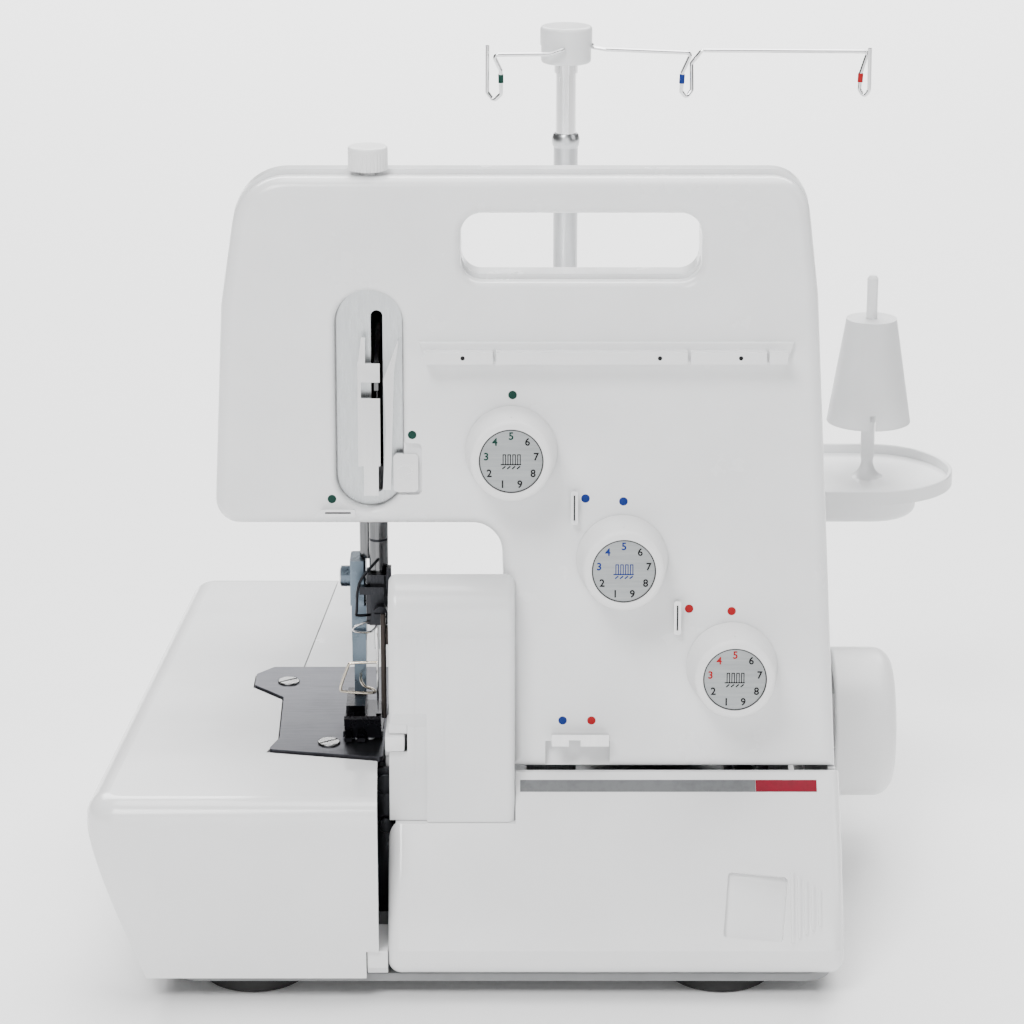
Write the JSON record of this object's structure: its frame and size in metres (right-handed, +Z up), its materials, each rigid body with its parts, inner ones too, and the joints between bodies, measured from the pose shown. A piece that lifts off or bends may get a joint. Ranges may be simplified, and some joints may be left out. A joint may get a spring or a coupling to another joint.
{
  "type": "serger overlock machine",
  "caption": "Overlock sewing machine with leaning front panel, tension dials, cloth plate, hinged looper cover, handwheel, cone tray and telescopic thread stand.",
  "frame": {"origin": "on the table under the middle of the machine's outer box", "axes": "+Z up, +X to the user's right, -Y towards the user"},
  "size_m": [0.3424, 0.278, 0.323],
  "materials": {
    "white_plastic": "smooth satin moulding",
    "dial_plastic": "fine satin",
    "stand_plastic": "smooth",
    "dark_metal": "satin",
    "cast_frame": "cast",
    "rubber": "matte",
    "black_plastic": "fine grain",
    "black_steel": "satin blackened",
    "bronze": "sintered",
    "bright_steel": "polished",
    "steel": "ground",
    "aluminium": "satin"
  },
  "bodies": {
    "machine": {"base_pan": "dark_metal", "bed_plate": "white_plastic", "chassis_frame": "cast_frame", "drive_belt": "rubber", "fixed_knife": "steel", "front_cover": "white_plastic", "lever_shaft": "steel", "looper_shafts": "steel", "lower_thread_guide": "white_plastic", "motor": "dark_metal", "needle_plate": "steel", "needle_plate_screws": "bright_steel", "power_inlet": "black_plastic", "presser_spring": "bright_steel", "rear_cover": "white_plastic", "rubber_feet": "rubber", "shaft_bushes": "bronze", "spool_pins": "stand_plastic", "spool_tray": "stand_plastic", "stand_tube": "aluminium", "take_up_bracket": "bright_steel", "take_up_insert": "aluminium", "tension_posts": "bright_steel", "thread_clamp": "bright_steel", "thread_ledge": "white_plastic", "wire_guides": "white_plastic"},
    "handwheel_body": {"handwheel": "white_plastic", "main_shaft": "steel", "drive_pulley": "aluminium"},
    "motor_rotor": {"motor_pulley": "aluminium"},
    "needle_rocker": {"needle_lever": "steel", "take_up_lever": "bright_steel"},
    "needle_bar_body": {"needle_bar": "steel", "needle_clamp": "black_steel", "clamp_screw": "black_steel", "needle": "bright_steel"},
    "lower_looper_body": {"lower_looper": "steel"},
    "upper_looper_body": {"upper_looper": "steel"},
    "moving_knife_body": {"moving_knife": "steel"},
    "feed_body": {"feed_dog": "steel"},
    "presser_lifter_body": {"presser_lifter": "black_steel"},
    "presser_body": {"presser_bar": "bright_steel", "presser_foot": "black_steel"},
    "pressure_knob_body": {"pressure_knob": "white_plastic"},
    "dial_left_body": {"tension_dial_left": "dial_plastic"},
    "dial_middle_body": {"tension_dial_middle": "dial_plastic"},
    "dial_right_body": {"tension_dial_right": "dial_plastic"},
    "length_dial_body": {"stitch_length_dial": "white_plastic"},
    "switch_body": {"power_switch": "black_plastic"},
    "finger_lever_body": {"stitch_finger_lever": "white_plastic"},
    "cover_carriage": {"cover_hinge_rod": "bright_steel"},
    "looper_cover_body": {"looper_cover": "white_plastic", "knife_guard": "white_plastic"},
    "cloth_plate_body": {"cloth_plate_cover": "white_plastic"},
    "stand_mast": {"stand_inner_tube": "bright_steel"},
    "guide_head": {"guide_cap": "stand_plastic", "guide_wires": "bright_steel"},
    "cone_left_body": {"spool_cone_left": "stand_plastic"},
    "cone_middle_body": {"spool_cone_middle": "stand_plastic"},
    "cone_right_body": {"spool_cone_right": "stand_plastic"}
  },
  "joints": [
    {"name": "handwheel_turn", "type": "hinge", "parent": "machine", "child": "handwheel_body", "pos_m": [0.1, 0.005, 0.055], "axis": [1, 0, 0], "continuous": true},
    {"name": "motor_spin", "type": "hinge", "parent": "machine", "child": "motor_rotor", "pos_m": [0.075, 0.082, 0.052], "axis": [1, 0, 0], "continuous": true},
    {"name": "lever_rock", "type": "hinge", "parent": "machine", "child": "needle_rocker", "pos_m": [-0.06, 0, 0.205], "axis": [1, 0, 0], "range_deg": [0, 23]},
    {"name": "needle_bar_slide", "type": "slide", "parent": "machine", "child": "needle_bar_body", "axis": [0, 0, 1], "range_m": [-0.0245, 0]},
    {"name": "lower_looper_swing", "type": "hinge", "parent": "machine", "child": "lower_looper_body", "pos_m": [-0.034, -0.0776, 0.032], "axis": [0, -1, 0], "range_deg": [0, 12.5]},
    {"name": "upper_looper_swing", "type": "hinge", "parent": "machine", "child": "upper_looper_body", "pos_m": [-0.024, -0.0808, 0.058], "axis": [0, -1, 0], "range_deg": [0, 12.5]},
    {"name": "knife_stroke", "type": "slide", "parent": "machine", "child": "moving_knife_body", "axis": [0, 0, 1], "range_m": [-0.0052, 0]},
    {"name": "feed_stroke", "type": "slide", "parent": "machine", "child": "feed_body", "axis": [0, 1, 0], "range_m": [0, 0.0031]},
    {"name": "presser_lever_turn", "type": "hinge", "parent": "machine", "child": "presser_lifter_body", "pos_m": [-0.085, 0.06, 0.192], "axis": [0, -1, 0], "range_deg": [0, 37]},
    {"name": "presser_lift", "type": "slide", "parent": "machine", "child": "presser_body", "axis": [0, 0, 1], "range_m": [0, 0.0062], "deforming": ["presser_spring"]},
    {"name": "pressure_knob_turn", "type": "hinge", "parent": "machine", "child": "pressure_knob_body", "pos_m": [-0.068, -0.0698, 0.3], "axis": [0, 0, 1], "range_deg": [-720, 720]},
    {"name": "dial_left_turn", "type": "hinge", "parent": "machine", "child": "dial_left_body", "pos_m": [-0.0163, -0.08798, 0.19624], "axis": [0, -0.9962, 0.0872], "range_deg": [-160, 160]},
    {"name": "dial_middle_turn", "type": "hinge", "parent": "machine", "child": "dial_middle_body", "pos_m": [0.0245, -0.09152, 0.15579], "axis": [0, -0.9962, 0.0872], "range_deg": [-160, 160]},
    {"name": "dial_right_turn", "type": "hinge", "parent": "machine", "child": "dial_right_body", "pos_m": [0.0653, -0.09506, 0.11535], "axis": [0, -0.9962, 0.0872], "range_deg": [-160, 160]},
    {"name": "stitch_length_turn", "type": "hinge", "parent": "machine", "child": "length_dial_body", "pos_m": [0.10535, 0.046, 0.04998], "axis": [0.9996, 0, 0.0288], "range_deg": [-120, 120]},
    {"name": "switch_rock", "type": "hinge", "parent": "machine", "child": "switch_body", "pos_m": [0.10206, 0.084, 0.05989], "axis": [0, -1, 0], "range_deg": [0, 18]},
    {"name": "finger_lever_slide", "type": "slide", "parent": "machine", "child": "finger_lever_body", "axis": [0, -1, 0], "range_m": [0, 0.004]},
    {"name": "cover_slide", "type": "slide", "parent": "machine", "child": "cover_carriage", "axis": [1, 0, 0], "range_m": [0, 0.008]},
    {"name": "looper_cover_open", "type": "hinge", "parent": "cover_carriage", "child": "looper_cover_body", "pos_m": [0.02, -0.1326, 0.0154], "axis": [1, 0, 0], "range_deg": [0, 70]},
    {"name": "cloth_plate_open", "type": "hinge", "parent": "machine", "child": "cloth_plate_body", "pos_m": [-0.1383, -0.009, 0.014], "axis": [-0.0691, -0.9976, 0], "range_deg": [0, 65]},
    {"name": "stand_raise", "type": "slide", "parent": "machine", "child": "stand_mast", "axis": [0, 0, 1], "range_m": [-0.022, 0.13]},
    {"name": "guide_head_turn", "type": "hinge", "parent": "stand_mast", "child": "guide_head", "pos_m": [0.006, 0.091, 0.315], "axis": [0, 0, 1], "range_deg": [-90, 90]},
    {"name": "cone_left_lift", "type": "slide", "parent": "machine", "child": "cone_left_body", "axis": [0, 0, 1], "range_m": [0, 0.09]},
    {"name": "cone_middle_lift", "type": "slide", "parent": "machine", "child": "cone_middle_body", "axis": [0, 0, 1], "range_m": [0, 0.09]},
    {"name": "cone_right_lift", "type": "slide", "parent": "machine", "child": "cone_right_body", "axis": [0, 0, 1], "range_m": [0, 0.09]}
  ],
  "couplings": [
    {"joint": "motor_spin", "follows": "handwheel_turn", "ratio": 3.7143},
    {"joint": "needle_bar_slide", "follows": "lever_rock", "m_per_rad": -0.059538},
    {"joint": "lower_looper_swing", "follows": "lever_rock", "ratio": 0.52174},
    {"joint": "upper_looper_swing", "follows": "lever_rock", "ratio": 0.52174},
    {"joint": "knife_stroke", "follows": "lever_rock", "m_per_rad": -0.012456},
    {"joint": "feed_stroke", "follows": "lever_rock", "m_per_rad": 0.007473},
    {"joint": "presser_lift", "follows": "presser_lever_turn", "m_per_rad": 0.009291}
  ]
}
